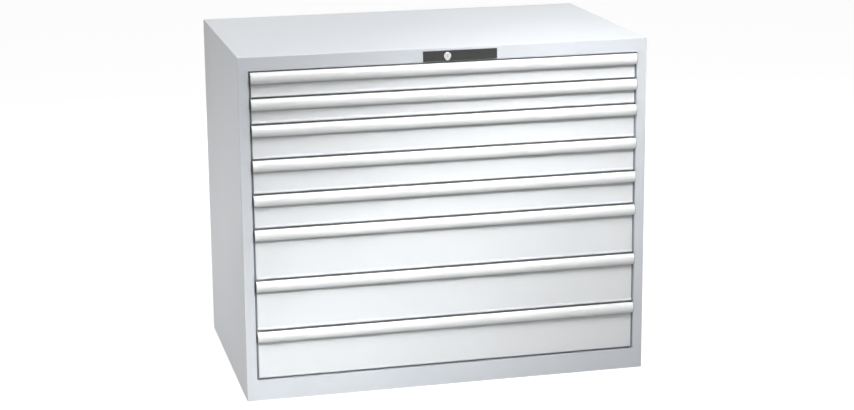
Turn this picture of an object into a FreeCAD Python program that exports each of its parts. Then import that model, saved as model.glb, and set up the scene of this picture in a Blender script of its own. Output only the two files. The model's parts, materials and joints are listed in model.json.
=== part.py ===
# Modular drawer cabinet: welded sheet-steel casing, eight full-extension drawers on roller guides,
# extruded grip rails and a central lock. Millimetres, +Z up, the front faces -Y.
# The pieces are drawn with x = 0 on the middle plane and y = 0 on the casing's front face, and
# are moved back on export so that the origin lies on the floor under the middle of the whole cabinet.
import FreeCAD, Part
import math
import os

V = FreeCAD.Vector

# Casing
case_width = 1193.0
case_depth = 725.0
case_height = 1000.0
case_sheet = 1.5
case_bend = 1.0           # inside radius of every fold in the casing
header_height = 40.0
base_height = 60.0
post_width = 30.0
rebate_depth = 7.5        # from the casing's front face back to the strip beside the fronts
rebate_width = 5.4        # that strip, folded inwards from the post
rear_return = 20.0        # fold that carries the rear panel
header_return = 14.0
rear_panel_rise = 25.0    # how far the rear panel reaches up behind the top cover
rear_panel_fold = 12.0
floor_flange = 40.0       # width of the ring that stands on the floor
anchor_radius = 5.5
anchor_inset = 22.0       # from the casing's outside to each floor anchor hole

# Drawer fronts, from the top down, counted in modules. All modules together fill the opening.
front_modules = [3, 3, 4, 4, 4, 6, 6, 6]
front_gap = 3.0           # between one front and the next below it
floor_gap = 6.5           # under the lowest front
side_gap = 6.0            # between a front and the post beside it
front_recess = 1.5        # from the casing's front face back to the fronts
front_sheet = 1.5
front_bend = 1.0
lip_height = 9.0          # flared strip along the foot of a front
lip_flare = 2.0

# Grip rail, an extrusion along the head of each front
grip_height = 35.0
grip_proud = 15.5         # how far the crown stands out of the casing's front face
grip_wall = 2.2
grip_radius = 19.9        # outside of the curved face
grip_crown_drop = 16.7    # the crown's place below the rail's top
grip_lip_drop = 31.0      # the lower end of the curve, below the rail's top
cap_thickness = 1.0
cap_gap = 2.3             # from an end cap to the post beside it
cap_plug_length = 6.0
cap_plug_height = 4.0
notch_clearance = 1.25    # between a grip's notched end and the rebate strip behind it

# Drawer tray
unit = 17.0               # the grid for partitions, 64 by 36 units at these case sizes
tray_sheet = 1.0
tray_bend = 1.0
tray_front = 16.0         # outside of the tray's front wall, behind the casing's front face
tray_rear_room = 95.0     # from the tray's rear wall to the casing's rear outside
tray_floor_rise = 9.0     # underside of the tray above the foot of its cell
tray_rim_drop = 6.5       # rim below the head of its cell
tray_rim_width = 6.0
slot_units = 4            # a partition slot every so many grid units
slot_width = 3.0
slot_edge = 12.0          # from a wall's floor and rim to the ends of its slots

# Guides: a cabinet rail, a half-speed carriage with rollers, and a drawer rail
rail_sheet = 2.0
rail_bend = 1.0
rail_inside = 31.0        # between the flanges
cabinet_rail_front = 18.0
cabinet_rail_room = 47.0  # from the rail's rear end to the casing's rear outside
cabinet_flange = 9.5
drawer_rail_past = 27.0   # how far the rail runs on behind the tray
drawer_flange = 9.7
carriage_plate = 2.0
carriage_height = 34.0
carriage_front = 40.0
carriage_room = 18.0      # from the carriage's rear end to the cabinet rail's
carriage_corner = 8.0
roller_clearance = 0.3
roller_side_clearance = 0.4
plate_clearance = 0.4     # between the carriage and the flanges beside it
rivet_radius = 4.0        # head of the axle's rivet on the plate's other face
rivet_height = 0.3
roller_end_inset = 20.0   # from a carriage's end to its last roller
roller_pair_gap = 265.0   # between the two rollers on one face

# Slotted columns inside the casing
column_width = 40.0
column_flange = 14.0
column_front = 46.0
column_rear_room = 75.0   # behind the rear column, to the casing's rear outside
column_setback = 0.5      # from a column's slotted face to the post's inner edge
slot_offset = 5.0         # first slot above the base, then one to each module
column_slot_width = 6.0
column_slot_height = 10.0
hook_clearance = 0.2
hook_drop = 3.0
hook_plate = 2.0

# Central lock
plate_left = 70.0         # cover plate, from the cylinder's axis
plate_right = 146.0
plate_height = 29.5
plate_rise = 2.4          # foot of the plate above the foot of the header
plate_thickness = 3.0
plate_corner = 1.5
plate_edge = 0.8
lock_rise = 17.4          # cylinder's axis above the foot of the header
rosette_width = 21.0
rosette_thickness = 2.5
rosette_foot_radius = 7.0
rosette_foot_drop = 6.5
barrel_radius = 9.0
barrel_depth = 13.5       # behind the casing's front face
barrel_clearance = 0.2
core_radius = 6.5
core_proud = 0.7
core_clearance = 0.08
key_width = 2.0
key_height = 8.5
key_depth = 11.0
cam_radius = 10.0
cam_thickness = 2.0
cam_gap = 0.4
cam_pin_radius = 2.0
cam_pin_throw = 6.4
cam_pin_past = 1.0        # the cam pin's end behind the link
cam_pin_start = 45.0      # degrees from upright, on the side away from the bar
link_front = 17.0
link_sheet = 2.0
link_height = 20.0
link_left_margin = 7.5    # past the middle of its last slot, short of the cover's side
link_right_margin = 14.0
link_slot_clearance = 0.4
link_stroke = 9.0
guide_pin_radius = 3.0
guide_head_radius = 5.0
guide_head_thickness = 1.2
guide_pin_left = 480.0    # from the middle to the outer guide pin
guide_pin_right = 120.0
gusset_depth = 40.0       # floor of the header's left corner, round the lock bar
bar_front = 21.0
bar_sheet = 3.0
bar_left = 12.0           # from the casing's outside
bar_width = 15.0
bar_drop = 8.0            # the bar's foot below the base's deck
bar_head = 4.0            # above the pin
bar_pin_past = 0.5        # the pin's end in front of the link
bar_pin_radius = 2.5
bar_pin_side = 7.5        # from the bar's outer edge
bar_clearance = 0.3
finger_reach = 17.0
finger_height = 9.0
finger_drop = 3.0         # a finger's top below the head of its cell
catch_gap = 2.0           # between a finger and the drawer's catch, along the travel
catch_drop = 14.0         # the catch's top below the head of its cell
catch_height = 7.5
catch_reach = 13.5
catch_sheet = 2.0

# Places worked out from the sizes above
half_width = case_width / 2
front_y = (grip_proud - case_depth) / 2
opening_foot = base_height
opening_head = case_height - header_height
module = (opening_head - opening_foot) / sum(front_modules)
column_face = post_width - column_setback    # the columns' slotted faces, from the casing's outside
column_rear = case_depth - column_rear_room - column_width
plate_left_face = column_face + cabinet_flange + plate_clearance
drawer_rail_open = plate_left_face + carriage_plate + plate_clearance
drawer_rail_face = drawer_rail_open + drawer_flange
tray_outer_half = half_width - drawer_rail_face
tray_inner_width = 2 * (tray_outer_half - tray_sheet)
tray_rear = case_depth - tray_rear_room
tray_inner_depth = tray_rear - tray_front - 2 * tray_sheet
rail_rise = slot_offset + module             # middle of the rail, and its slot, above the foot of its cell
cabinet_rail_length = case_depth - cabinet_rail_room - cabinet_rail_front
carriage_length = cabinet_rail_front + cabinet_rail_length - carriage_room - carriage_front
drawer_rail_length = tray_rear + drawer_rail_past - tray_front - tray_sheet
guide_pin_places = [-guide_pin_left, -guide_pin_right]
roller_radius = rail_inside / 2 - roller_clearance
front_half = half_width - post_width - side_gap
cap_half = half_width - post_width - cap_gap
grip_half = cap_half - cap_thickness
lock_z = opening_head + lock_rise
cam_pin_rise = cam_pin_throw * math.cos(math.radians(cam_pin_start))
cam_pin_side = cam_pin_throw * math.sin(math.radians(cam_pin_start))
link_z = lock_z + (cam_pin_rise + cam_pin_throw - link_height) / 2


def cells():
    """The foot and head of each drawer's cell, from the top down."""
    head = opening_head
    for count in front_modules:
        foot = head - count * module
        yield foot, head
        head = foot


def block(x, y, z):
    """A box between two places on each axis."""
    return Part.makeBox(x[1] - x[0], y[1] - y[0], z[1] - z[0], V(x[0], y[0], z[0]))


def disc(radius, start, direction, length):
    """A round bar from a point."""
    return Part.makeCylinder(radius, length, start, direction)


def mirrored(shape):
    """The same piece on the other side of the cabinet."""
    return shape.mirror(V(0, 0, 0), V(1, 0, 0))


def left_x(distance):
    """The x of a place given by its distance from the casing's left outside."""
    return distance - half_width


def outline(points_and_arcs):
    """A closed wire. Each entry is an end point, or a pair of a middle point and an end point for an arc."""
    edges = []
    here = points_and_arcs[-1]
    here = here[1] if isinstance(here, tuple) else here
    for entry in points_and_arcs:
        if isinstance(entry, tuple):
            edges.append(Part.Arc(here, entry[0], entry[1]).toShape())
            here = entry[1]
        else:
            edges.append(Part.LineSegment(here, entry).toShape())
            here = entry
    return Part.Wire(edges)


def folded(path, sheet, inside, place, sweep):
    """Folded sheet: a section that follows the middle line path, with round bends, extruded along sweep.
    place turns a point of the section into a point in space."""
    middle = inside + sheet / 2
    steps = [(b[0] - a[0], b[1] - a[1]) for a, b in zip(path, path[1:])]
    lengths = [math.hypot(*s) for s in steps]
    along = [(s[0] / n, s[1] / n) for s, n in zip(steps, lengths)]
    beside = [(-d[1], d[0]) for d in along]

    def shifted(point, direction, distance):
        return point[0] + direction[0] * distance, point[1] + direction[1] * distance

    def side(half):
        """One side of the sheet as end points and arcs, from the first point to the last."""
        run = [place(*shifted(path[0], beside[0], half))]
        for i in range(1, len(path) - 1):
            cross = along[i - 1][0] * along[i][1] - along[i - 1][1] * along[i][0]
            dot = along[i - 1][0] * along[i][0] + along[i - 1][1] * along[i][1]
            turn = math.atan2(cross, dot)
            way = math.copysign(1.0, turn)
            back = middle * math.tan(abs(turn) / 2)
            start = shifted(path[i], along[i - 1], -back)
            centre = shifted(start, beside[i - 1], way * middle)
            to_corner = (path[i][0] - centre[0], path[i][1] - centre[1])
            reach = math.hypot(*to_corner)
            radius = middle - way * half
            crown = (centre[0] + to_corner[0] / reach * radius, centre[1] + to_corner[1] / reach * radius)
            end = shifted(path[i], along[i], back)
            run.append(place(*shifted(start, beside[i - 1], half)))
            run.append((place(*crown), place(*shifted(end, beside[i], half))))
        run.append(place(*shifted(path[-1], beside[-1], half)))
        return run

    def reversed_run(run):
        """The same run from its last point back to its first."""
        back = []
        for i in range(len(run) - 1, -1, -1):
            end = run[i][1] if isinstance(run[i], tuple) else run[i]
            if i < len(run) - 1 and isinstance(run[i + 1], tuple):
                back.append((run[i + 1][0], end))
            else:
                back.append(end)
        return back

    wire = outline(side(sheet / 2) + reversed_run(side(-sheet / 2)))
    return Part.Face(wire).extrude(sweep)


def rounded_box(x, y, z, radius, chosen):
    """A box whose chosen edges are rounded."""
    shape = block(x, y, z)
    return shape.makeFillet(radius, [e for e in shape.Edges if chosen(e)])


def is_upright(edge):
    low = edge.BoundBox
    return low.ZLength > 1e-6 and low.XLength < 1e-6 and low.YLength < 1e-6


def is_level_at(z):
    return lambda edge: edge.BoundBox.ZLength < 1e-6 and abs(edge.BoundBox.ZMin - z) < 1e-6


# Casing

def left_side_panel():
    """Side wall with its front post and rear return folded from one sheet."""
    half = case_sheet / 2
    path = [
        (rear_return, case_depth - half),
        (half, case_depth - half),
        (half, half),
        (post_width - half, half),
        (post_width - half, rebate_depth),
        (post_width + rebate_width, rebate_depth),
    ]
    return folded(path, case_sheet, case_bend,
                  lambda u, y: V(left_x(u), y, opening_foot), V(0, 0, opening_head - opening_foot))


def rear_panel():
    """Flat rear wall, stiffened by a fold along its head and foot, behind the side panels' returns."""
    back = case_depth - case_sheet * 1.5
    foot = opening_foot + case_sheet / 2
    head = opening_head + rear_panel_rise
    path = [(back - rear_panel_fold, foot), (back, foot), (back, head), (back - rear_panel_fold, head)]
    reach = half_width - case_sheet - case_bend
    return folded(path, case_sheet, case_bend, lambda y, z: V(-reach, y, z), V(2 * reach, 0, 0))


def cover_shell(foot, head, open_foot):
    """Closed pan with rounded corners: the top cover, or the base when it is open at its foot only in part."""
    outer_radius = case_bend + case_sheet
    level = is_level_at(head) if open_foot else (lambda edge: False)
    outer = rounded_box((-half_width, half_width), (0, case_depth), (foot, head), outer_radius,
                        lambda e: is_upright(e) or level(e))
    inner_foot = foot - 1 if open_foot else foot + case_sheet
    inner = rounded_box((-half_width + case_sheet, half_width - case_sheet),
                        (case_sheet, case_depth - case_sheet),
                        (inner_foot, head - case_sheet), case_bend, is_upright)
    return outer.cut(inner)


def bar_slot(z):
    """Clearance for the lock bar through a sheet between two heights."""
    left = left_x(bar_left)
    return block((left - bar_clearance, left + bar_width + bar_clearance),
                 (bar_front - bar_clearance, bar_front + bar_sheet + bar_clearance), z)


def top_cover():
    """Top sheet with turned-down edges. The front one is the header, which carries the lock."""
    shell = cover_shell(opening_head, case_height, True)
    inside = half_width - case_sheet
    foot = (opening_head, opening_head + case_sheet)
    header_foot = block((-inside, inside), (case_sheet, header_return), foot)
    gusset = block((-inside, left_x(column_face)), (header_return, gusset_depth), foot)
    shell = shell.fuse([header_foot, gusset])
    back = V(0, 1, 0)
    pins = []
    for x in guide_pin_places:
        pin = disc(guide_pin_radius, V(x, case_sheet, link_z + link_height / 2), back,
                   link_front + link_sheet + cam_gap - case_sheet)
        head = disc(guide_head_radius, V(x, link_front + link_sheet + cam_gap, link_z + link_height / 2),
                    back, guide_head_thickness)
        pins.append(pin.fuse(head))
    shell = shell.cut(bar_slot((foot[0] - 1, foot[1] + 1)))
    shell = shell.cut(disc(barrel_radius + barrel_clearance, V(0, -1, lock_z), back, 2 + case_sheet))
    return Part.makeCompound([shell] + pins)


def anchor_places():
    """Centres of the four floor anchor holes."""
    return [(sx * (half_width - anchor_inset), y)
            for sx in (-1, 1) for y in (anchor_inset, case_depth - anchor_inset)]


def base_frame():
    """Base pan: a deck for the columns, turned-down walls and a ring that stands on the floor."""
    shell = cover_shell(0, base_height, False)
    reach = half_width - floor_flange
    shell = shell.cut(block((-reach, reach), (floor_flange, case_depth - floor_flange), (-1, case_sheet + 1)))
    for x, y in anchor_places():
        shell = shell.cut(disc(anchor_radius, V(x, y, -1), V(0, 0, 1), case_sheet + 2))
    return shell.cut(bar_slot((base_height - case_sheet - 1, base_height + 1)))


def column(front):
    """Hat-shaped column on the left side wall, slotted once to each module."""
    half = case_sheet / 2
    wall = case_sheet + half
    face = column_face - half
    path = [
        (wall, front - column_flange),
        (wall, front),
        (face, front),
        (face, front + column_width),
        (wall, front + column_width),
        (wall, front + column_width + column_flange),
    ]
    shape = folded(path, case_sheet, case_bend,
                   lambda u, y: V(left_x(u), y, opening_foot), V(0, 0, opening_head - opening_foot))
    count = round((opening_head - opening_foot) / module)
    middle = front + column_width / 2
    slots = [
        block((left_x(face - case_sheet), left_x(column_face + 1)),
              (middle - column_slot_width / 2, middle + column_slot_width / 2),
              (z - column_slot_height / 2, z + column_slot_height / 2))
        for z in (opening_foot + slot_offset + module * i for i in range(count))
    ]
    return shape.cut(Part.makeCompound(slots))


def upright_columns():
    """Two slotted columns on each side wall."""
    left = [column(column_front), column(column_rear)]
    return Part.makeCompound(left + [mirrored(c) for c in left])


# Guides

def channel(x_web, x_open, z, y):
    """Rail of C section, from its web to its open side, along a stretch of y."""
    toward = math.copysign(1.0, x_open - x_web)
    web = x_web + toward * rail_sheet / 2
    flange = rail_inside / 2 + rail_sheet / 2
    path = [(x_open, z + flange), (web, z + flange), (web, z - flange), (x_open, z - flange)]
    return folded(path, rail_sheet, rail_bend,
                  lambda u, h: V(left_x(u), y[0], h), V(0, y[1] - y[0], 0))


def rail_hook(z, y_middle):
    """Tongue that passes through a column's slot, with a lip that drops behind it."""
    width = column_slot_width / 2 - hook_clearance
    top = z + column_slot_height / 2 - hook_clearance
    foot = z - column_slot_height / 2 + hook_clearance
    inner = column_face - case_sheet - hook_clearance
    tongue = block((left_x(inner - hook_plate), left_x(column_face)),
                   (y_middle - width, y_middle + width), (foot, top))
    lip = block((left_x(inner - hook_plate), left_x(inner)),
                (y_middle - width, y_middle + width), (foot - hook_drop, foot))
    return tongue.fuse(lip)


def cabinet_rail(foot):
    """Fixed rail on the left, hooked into the front and rear columns."""
    z = foot + rail_rise
    rail = channel(column_face, column_face + cabinet_flange, z,
                   (cabinet_rail_front, cabinet_rail_front + cabinet_rail_length))
    hooks = [rail_hook(z, front + column_width / 2) for front in (column_front, column_rear)]
    return rail.fuse(hooks)


def cabinet_rails():
    """The fixed rails of all drawers, on both sides."""
    left = [cabinet_rail(foot) for foot, head in cells()]
    return Part.makeCompound(left + [mirrored(r) for r in left])


def drawer_rails(foot, head):
    """The pair of rails on one drawer's tray, and the catch that the lock holds it by."""
    left = channel(drawer_rail_face, drawer_rail_open, foot + rail_rise,
                   (tray_front + tray_sheet, tray_front + tray_sheet + drawer_rail_length))
    catch_front = bar_front + bar_sheet + catch_gap
    catch = block((-tray_outer_half - catch_reach, -tray_outer_half), (catch_front, catch_front + catch_sheet),
                  (head - catch_drop - catch_height, head - catch_drop))
    return Part.makeCompound([left, mirrored(left), catch])


def carriage(foot):
    """Half-speed carriage on the left: a plate with rear rollers in the cabinet rail and front rollers
    in the drawer rail. Each roller is drawn as one with its riveted axle and the plate."""
    z = foot + rail_rise
    face = left_x(plate_left_face)
    back = face + carriage_plate
    plate = block((face, back), (carriage_front, carriage_front + carriage_length),
                  (z - carriage_height / 2, z + carriage_height / 2))
    corners = [e for e in plate.Edges if e.BoundBox.XLength > 1e-6]
    plate = plate.makeFillet(carriage_corner, corners)
    outer_end = left_x(column_face + rail_sheet) + roller_side_clearance
    inner_end = left_x(drawer_rail_face - rail_sheet) - roller_side_clearance
    rear = carriage_front + carriage_length - roller_end_inset
    front = carriage_front + roller_end_inset
    rollers = [disc(roller_radius, V(outer_end, y, z), V(1, 0, 0), face - outer_end)
               for y in (rear, rear - roller_pair_gap)]
    rollers += [disc(roller_radius, V(back, y, z), V(1, 0, 0), inner_end - back)
                for y in (front, front + roller_pair_gap)]
    rivets = [disc(rivet_radius, V(back, y, z), V(1, 0, 0), rivet_height)
              for y in (rear, rear - roller_pair_gap)]
    rivets += [disc(rivet_radius, V(face - rivet_height, y, z), V(1, 0, 0), rivet_height)
               for y in (front, front + roller_pair_gap)]
    return plate.fuse(rollers + rivets)


def carriages(foot):
    """Both carriages of one drawer."""
    left = carriage(foot)
    return Part.makeCompound([left, mirrored(left)])


# Drawers

def partition_slots(foot, head):
    """Upright slots in the tray's side walls for partitions, on every fourth unit of the grid."""
    z = (foot + slot_edge, head - slot_edge)
    reach = tray_outer_half + 1
    first = tray_front + tray_sheet + slot_units * unit
    count = int(tray_inner_depth / (slot_units * unit)) - 1
    return [block((-reach, reach), (y - slot_width / 2, y + slot_width / 2), z)
            for y in (first + slot_units * unit * i for i in range(count))]


def tray(foot, head):
    """Drawer body: folded floor and walls with partition slots, and a turned-out rim on each side wall."""
    z = (foot + tray_floor_rise, head - tray_rim_drop)
    outer = rounded_box((-tray_outer_half, tray_outer_half), (tray_front, tray_rear), z,
                        tray_bend + tray_sheet, is_level_at(z[0]))
    inner = rounded_box((-tray_inner_width / 2, tray_inner_width / 2),
                        (tray_front + tray_sheet, tray_rear - tray_sheet), (z[0] + tray_sheet, z[1] + 5),
                        tray_bend, is_level_at(z[0] + tray_sheet))
    shell = outer.cut(inner)
    wall = -tray_outer_half
    rim = block((wall - tray_rim_width, wall), (tray_front, tray_rear), (z[1] - tray_sheet, z[1]))
    shell = shell.cut(Part.makeCompound(partition_slots(foot, head)))
    return shell.fuse([rim, mirrored(rim)])


def drawer_front(foot, head, lowest):
    """Folded front panel under the grip rail. All but the lowest flare out along their foot."""
    half = front_sheet / 2
    face = front_recess + half
    top = head - front_gap - grip_height - half
    if lowest:
        bottom = foot + floor_gap + half
        path = [(tray_front, top), (face, top), (face, bottom), (tray_front, bottom)]
    else:
        bottom = foot + half
        path = [(tray_front, top), (face, top), (face, foot + lip_height),
                (face - lip_flare, bottom), (tray_front, bottom)]
    panel = folded(path, front_sheet, front_bend, lambda y, z: V(-front_half, y, z), V(2 * front_half, 0, 0))
    inset = front_sheet + front_bend
    end = block((-front_half, -front_half + front_sheet), (front_recess + front_sheet / 2, tray_front),
                (bottom + inset + lip_height, top - half))
    return panel.fuse([end, mirrored(end)])


def grip_curve(top, inset):
    """The grip's curve, moved in by inset: where it meets the flat top, its crown and its lower end."""
    centre = V(0, grip_radius - grip_proud, top - grip_crown_drop)
    radius = grip_radius - inset
    rise = grip_crown_drop - inset
    first = centre + V(0, -math.sqrt(radius ** 2 - rise ** 2), rise)
    fall = math.asin((grip_lip_drop - grip_crown_drop) / grip_radius)
    last = centre + V(0, -math.cos(fall), -math.sin(fall)) * radius
    return first, centre + V(0, -radius, 0), last


def grip_notch(top):
    """What the left end of a grip and its cap leave free for the post's rebate strip."""
    start = rebate_depth - case_sheet / 2 - notch_clearance
    return block((-cap_half - 1, -front_half), (start, tray_front + 1),
                 (top - grip_height - 1, top + 1))


def grip_rail(head):
    """Extruded grip: flat top, curved face with a free lower lip, rear wall and ledge over the front panel."""
    top = head - front_gap
    foot = top - grip_height
    first, crown, last = grip_curve(top, 0)
    inner_first, inner_crown, inner_last = grip_curve(top, grip_wall)
    onward = V(1, 0, 0).cross(last - inner_last) * 0.5
    lip_end = (last + inner_last) * 0.5 + onward
    web = top - grip_wall
    wire = outline([
        V(0, tray_front, top),
        first,
        (crown, last),
        (lip_end, inner_last),
        (inner_crown, inner_first),
        V(0, tray_front - grip_wall, web),
        V(0, tray_front - grip_wall, foot + grip_wall),
        V(0, front_recess, foot + grip_wall),
        V(0, front_recess, foot),
        V(0, tray_front, foot),
    ])
    rail = Part.Face(wire).extrude(V(2 * grip_half, 0, 0)).translated(V(-grip_half, 0, 0))
    notch = grip_notch(top)
    return rail.cut([notch, mirrored(notch)])


def end_cap(head):
    """Moulded cap on the left end of a grip rail: the rail's filled outline with a plug under its web."""
    top = head - front_gap
    foot = top - grip_height
    first, crown, last = grip_curve(top, 0)
    wire = outline([
        V(0, tray_front, top),
        first,
        (crown, last),
        V(0, front_recess, foot),
        V(0, tray_front, foot),
    ])
    plate = Part.Face(wire).extrude(V(cap_thickness, 0, 0)).translated(V(-cap_half, 0, 0))
    plug = block((-grip_half, -grip_half + cap_plug_length),
                 (front_recess, tray_front - grip_wall),
                 (top - grip_wall - cap_plug_height, top - grip_wall))
    return plate.fuse(plug).cut(grip_notch(top))


def end_caps(head):
    """The pair of caps on one grip rail."""
    left = end_cap(head)
    return Part.makeCompound([left, mirrored(left)])


# Lock

def lock_plate():
    """Dark cover plate on the header, with a hole for the cylinder."""
    foot = opening_head + plate_rise
    plate = block((-plate_left, plate_right), (-plate_thickness, 0), (foot, foot + plate_height))
    corners = [e for e in plate.Edges if e.BoundBox.YLength > 1e-6]
    plate = plate.makeFillet(plate_corner, corners)
    rim = [e for e in plate.Edges if e.BoundBox.YLength < 1e-6 and e.BoundBox.YMin < -plate_thickness / 2]
    plate = plate.makeChamfer(plate_edge, rim)
    hole = disc(barrel_radius + barrel_clearance, V(0, -plate_thickness - 1, lock_z), V(0, 1, 0),
                plate_thickness + 2)
    return plate.cut(hole)


def lock_cylinder():
    """Fixed cylinder: a shield-shaped rosette on the plate and a barrel through the header."""
    front = -plate_thickness - rosette_thickness
    crown = rosette_width / 2
    drop = rosette_foot_drop
    slope = math.asin((crown - rosette_foot_radius) / drop)
    side = V(math.cos(slope), 0, -math.sin(slope))
    left = V(-side.x, 0, side.z)
    centre = V(0, front, lock_z)
    foot = V(0, front, lock_z - drop)
    wire = outline([
        centre + side * crown,
        (centre + V(0, 0, crown), centre + left * crown),
        foot + left * rosette_foot_radius,
        (foot + V(0, 0, -rosette_foot_radius), foot + side * rosette_foot_radius),
    ])
    rosette = Part.Face(wire).extrude(V(0, rosette_thickness, 0))
    barrel = disc(barrel_radius, V(0, -plate_thickness, lock_z), V(0, 1, 0), plate_thickness + barrel_depth)
    bore = disc(core_radius + core_clearance, V(0, front - 1, lock_z), V(0, 1, 0),
                plate_thickness + rosette_thickness + barrel_depth + 2)
    return rosette.fuse(barrel).cut(bore)


def lock_core():
    """Turning plug with its keyway, cam and cam pin."""
    front = -plate_thickness - rosette_thickness - core_proud
    cam_front = barrel_depth + cam_gap
    back = V(0, 1, 0)
    plug = disc(core_radius, V(0, front, lock_z), back, cam_front - front)
    cam = disc(cam_radius, V(0, cam_front, lock_z), back, cam_thickness)
    pin_at = V(cam_pin_side, cam_front + cam_thickness, lock_z + cam_pin_rise)
    pin = disc(cam_pin_radius, pin_at, back, link_front + link_sheet + cam_pin_past - pin_at.y)
    keyway = block((-key_width / 2, key_width / 2), (front - 1, front + key_depth),
                   (lock_z - key_height / 2, lock_z + key_height / 2))
    return plug.fuse([cam, pin]).cut(keyway)


def long_slot(x, z, radius, length, direction):
    """Slot with round ends through the link, from one end's centre along a direction."""
    start = V(x, link_front - 1, z)
    thickness = link_sheet + 2
    across = V(-direction.z, 0, direction.x) * radius
    end = start + direction * length
    wire = outline([start + across, end + across, end - across, start - across])
    middle = Part.Face(wire).extrude(V(0, thickness, 0))
    ends = [disc(radius, p, V(0, 1, 0), thickness) for p in (start, end)]
    return middle.fuse(ends)


def lock_link():
    """Strip behind the header that the cam pushes sideways, with an inclined slot that lowers the bar."""
    pin_x = left_x(bar_left + bar_pin_side)
    strip = block((pin_x - link_left_margin, cam_pin_side + link_right_margin),
                  (link_front, link_front + link_sheet), (link_z, link_z + link_height))
    cam_slot = long_slot(cam_pin_side, lock_z + cam_pin_rise, cam_pin_radius + link_slot_clearance,
                         cam_pin_throw - cam_pin_rise, V(0, 0, 1))
    incline = V(1, 0, -1).normalize()
    bar_slot_z = link_z + link_height / 2 + link_stroke / 2
    inclined = long_slot(pin_x, bar_slot_z, bar_pin_radius + bar_clearance, link_stroke * math.sqrt(2), incline)
    slots = [cam_slot, inclined]
    for x in guide_pin_places:
        slots.append(long_slot(x, link_z + link_height / 2, guide_pin_radius + bar_clearance,
                               link_stroke, V(1, 0, 0)))
    return strip.cut(slots)


def lock_bar():
    """Upright bar behind the left post: its pin sits in the link's slot, and each drawer has a finger on it."""
    left = left_x(bar_left)
    y = (bar_front, bar_front + bar_sheet)
    pin_z = link_z + link_height / 2 + link_stroke / 2
    bar = block((left, left + bar_width), y, (base_height - bar_drop, pin_z + bar_pin_radius + bar_head))
    fingers = [block((left + bar_width, left + bar_width + finger_reach), y,
                     (head - finger_drop - finger_height, head - finger_drop))
               for foot, head in cells()]
    pin = disc(bar_pin_radius, V(left + bar_pin_side, link_front - bar_pin_past, pin_z), V(0, 1, 0),
               bar_front - link_front + bar_pin_past)
    return Part.makeCompound([bar.fuse(pin)] + fingers)


def pieces():
    """Every node's name and shape."""
    side = left_side_panel()
    yield "left_side_panel", side
    yield "right_side_panel", mirrored(side)
    yield "rear_panel", rear_panel()
    yield "top_cover", top_cover()
    yield "base_frame", base_frame()
    yield "upright_columns", upright_columns()
    yield "cabinet_rails", cabinet_rails()
    yield "lock_plate", lock_plate()
    yield "lock_cylinder", lock_cylinder()
    yield "lock_core", lock_core()
    yield "lock_link", lock_link()
    yield "lock_bar", lock_bar()
    all_cells = list(cells())
    for number, (foot, head) in enumerate(all_cells, 1):
        name = f"drawer_{number}_"
        yield name + "tray", tray(foot, head)
        yield name + "front", drawer_front(foot, head, number == len(all_cells))
        yield name + "grip", grip_rail(head)
        yield name + "end_caps", end_caps(head)
        yield name + "rails", drawer_rails(foot, head)
        yield name + "carriages", carriages(foot)


def main():
    os.makedirs("parts", exist_ok=True)
    for name, shape in pieces():
        shape = shape.translated(V(0, front_y, 0))
        if not shape.isValid():
            raise ValueError(name + " is not valid")
        shape.exportStep(os.path.join("parts", name + ".step"))


main()
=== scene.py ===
import bmesh
import bpy
import json
import math
from mathutils import Matrix, Vector


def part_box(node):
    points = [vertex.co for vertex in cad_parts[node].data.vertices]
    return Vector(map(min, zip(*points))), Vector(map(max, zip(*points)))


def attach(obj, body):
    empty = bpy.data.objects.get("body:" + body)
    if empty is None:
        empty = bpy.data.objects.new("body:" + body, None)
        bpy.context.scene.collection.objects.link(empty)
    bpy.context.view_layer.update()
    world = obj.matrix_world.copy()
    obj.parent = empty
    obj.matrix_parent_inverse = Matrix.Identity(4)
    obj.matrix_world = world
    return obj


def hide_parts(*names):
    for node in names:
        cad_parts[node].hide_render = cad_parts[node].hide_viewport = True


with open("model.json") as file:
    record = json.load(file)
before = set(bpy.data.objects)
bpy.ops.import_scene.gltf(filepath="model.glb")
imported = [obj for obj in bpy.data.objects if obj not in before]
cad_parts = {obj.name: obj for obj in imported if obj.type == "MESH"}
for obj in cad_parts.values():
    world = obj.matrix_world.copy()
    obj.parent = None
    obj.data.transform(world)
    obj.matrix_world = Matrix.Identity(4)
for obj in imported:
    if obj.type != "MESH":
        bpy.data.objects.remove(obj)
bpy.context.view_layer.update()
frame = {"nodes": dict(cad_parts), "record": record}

# Sizes are written in millimetres and turned to metres by mm.
mm = 0.001
weldGap = 0.001 * mm  # points closer than this become one
noiseSpan = {"From Min": 0.3, "From Max": 0.7}  # where most values of a noise texture lie
drawerCount = sum(1 for name in frame["nodes"] if name.endswith("_tray"))
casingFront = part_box("left_side_panel")[0][1] / mm  # y of the posts' front faces
print("frame loaded, drawers:", drawerCount)


def linear(hexColour):
    # an sRGB hex value as the linear colour that shaders take
    parts = [int(hexColour[i:i + 2], 16) / 255 for i in (1, 3, 5)]
    return [p / 12.92 if p <= 0.04045 else ((p + 0.055) / 1.055) ** 2.4 for p in parts] + [1.0]


def addNode(tree, kind, inputs=None, links=None, **settings):
    # one node with its settings, its input values and its incoming links
    node = tree.nodes.new(kind)
    for name, value in settings.items():
        setattr(node, name, value)
    for name, value in (inputs or {}).items():
        node.inputs[name].default_value = value
    for name, source in (links or {}).items():
        output = source[0].outputs[source[1]] if isinstance(source, tuple) else source.outputs[0]
        tree.links.new(output, node.inputs[name])
    return node


def newMaterial(name):
    # an empty node material and its tree
    material = bpy.data.materials.new(name)
    material.use_nodes = True
    material.node_tree.nodes.clear()
    return material, material.node_tree


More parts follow.
